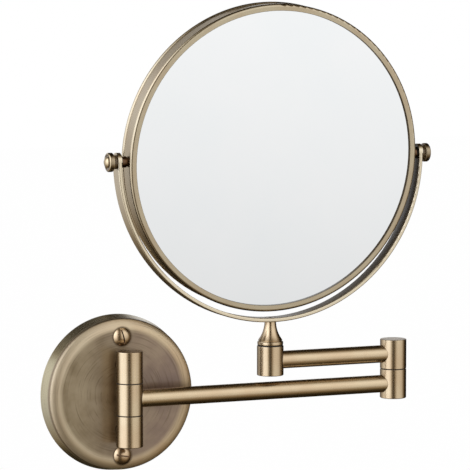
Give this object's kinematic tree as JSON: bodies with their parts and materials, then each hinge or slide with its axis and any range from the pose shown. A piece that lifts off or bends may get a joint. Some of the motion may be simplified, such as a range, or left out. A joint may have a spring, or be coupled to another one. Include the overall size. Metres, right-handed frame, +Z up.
{
  "type": "extendable shaving mirror",
  "caption": "Wall-mounted folding swing-arm mirror: round two-sided mirror that tilts in a half-ring yoke on a hinged double arm.",
  "frame": {"origin": "centre of the wall plate's back face, on the wall's surface", "axes": "+Z up, +Y into the wall, -Y out into the room, +X along the folded arms"},
  "size_m": [0.2736, 0.0765, 0.3142],
  "materials": {
    "antique_brass": "brushed antique brass, clear lacquered",
    "plate_brass": "antique brass brushed in circles, clear lacquered",
    "dark_brass": "dark patinated brass",
    "plain_steel": "zinc-plated steel",
    "black_nylon": "moulded nylon",
    "foam": "closed-cell foam",
    "mirror_glass": "silvered glass"
  },
  "bodies": {
    "wall_mount": {"wall_plate": "plate_brass", "wall_screws": "antique_brass", "upper_knuckle": "antique_brass", "lower_knuckle": "antique_brass", "knuckle_screws": "plain_steel", "hinge_pin": "plain_steel", "hinge_disc_spring": "plain_steel", "hinge_cap": "antique_brass"},
    "lower_arm": {"arm_knuckle": "antique_brass", "hinge_bushes": "black_nylon", "lower_arm_tube": "antique_brass", "elbow_lower_barrel": "antique_brass", "elbow_bush": "black_nylon", "elbow_disc_spring": "plain_steel", "elbow_cap": "antique_brass"},
    "upper_arm": {"elbow_upper_barrel": "antique_brass", "elbow_pin": "plain_steel", "upper_arm_tube": "antique_brass", "stem_socket": "antique_brass", "stem_bush": "black_nylon", "stem_cap": "antique_brass"},
    "yoke_frame": {"yoke_neck": "antique_brass", "stem_screw": "plain_steel", "stem_washer": "plain_steel", "yoke": "antique_brass", "yoke_screw": "antique_brass"},
    "mirror_head": {"mirror_band": "antique_brass", "front_rim": "antique_brass", "rear_rim": "antique_brass", "plain_glass": "mirror_glass", "magnifying_glass": "mirror_glass", "foam_ring": "foam", "pivot_blocks": "plain_steel", "pivot_collars": "dark_brass", "pivot_washers": "black_nylon"},
    "left_knob": {"left_thumb_screw": "antique_brass"},
    "right_knob": {"right_thumb_screw": "antique_brass"}
  },
  "joints": [
    {"name": "wall_hinge", "type": "hinge", "parent": "wall_mount", "child": "lower_arm", "pos_m": [0, -0.028, -0.001], "axis": [0, 0, 1], "range_deg": [-183, 3]},
    {"name": "elbow", "type": "hinge", "parent": "lower_arm", "child": "upper_arm", "pos_m": [0.1935, -0.028, 0.01955], "axis": [0, 0, 1], "continuous": true},
    {"name": "mirror_swivel", "type": "hinge", "parent": "upper_arm", "child": "yoke_frame", "pos_m": [0.1017, -0.028, 0.0301], "axis": [0, 0, 1], "continuous": true},
    {"name": "mirror_tilt", "type": "hinge", "parent": "yoke_frame", "child": "mirror_head", "pos_m": [0.1017, -0.028, 0.157], "axis": [1, 0, 0], "continuous": true},
    {"name": "left_knob_turn", "type": "hinge", "parent": "mirror_head", "child": "left_knob", "pos_m": [-0.0093, -0.028, 0.157], "axis": [-1, 0, 0], "range_deg": [0, 180]},
    {"name": "right_knob_turn", "type": "hinge", "parent": "mirror_head", "child": "right_knob", "pos_m": [0.2127, -0.028, 0.157], "axis": [1, 0, 0], "range_deg": [0, 180]}
  ]
}
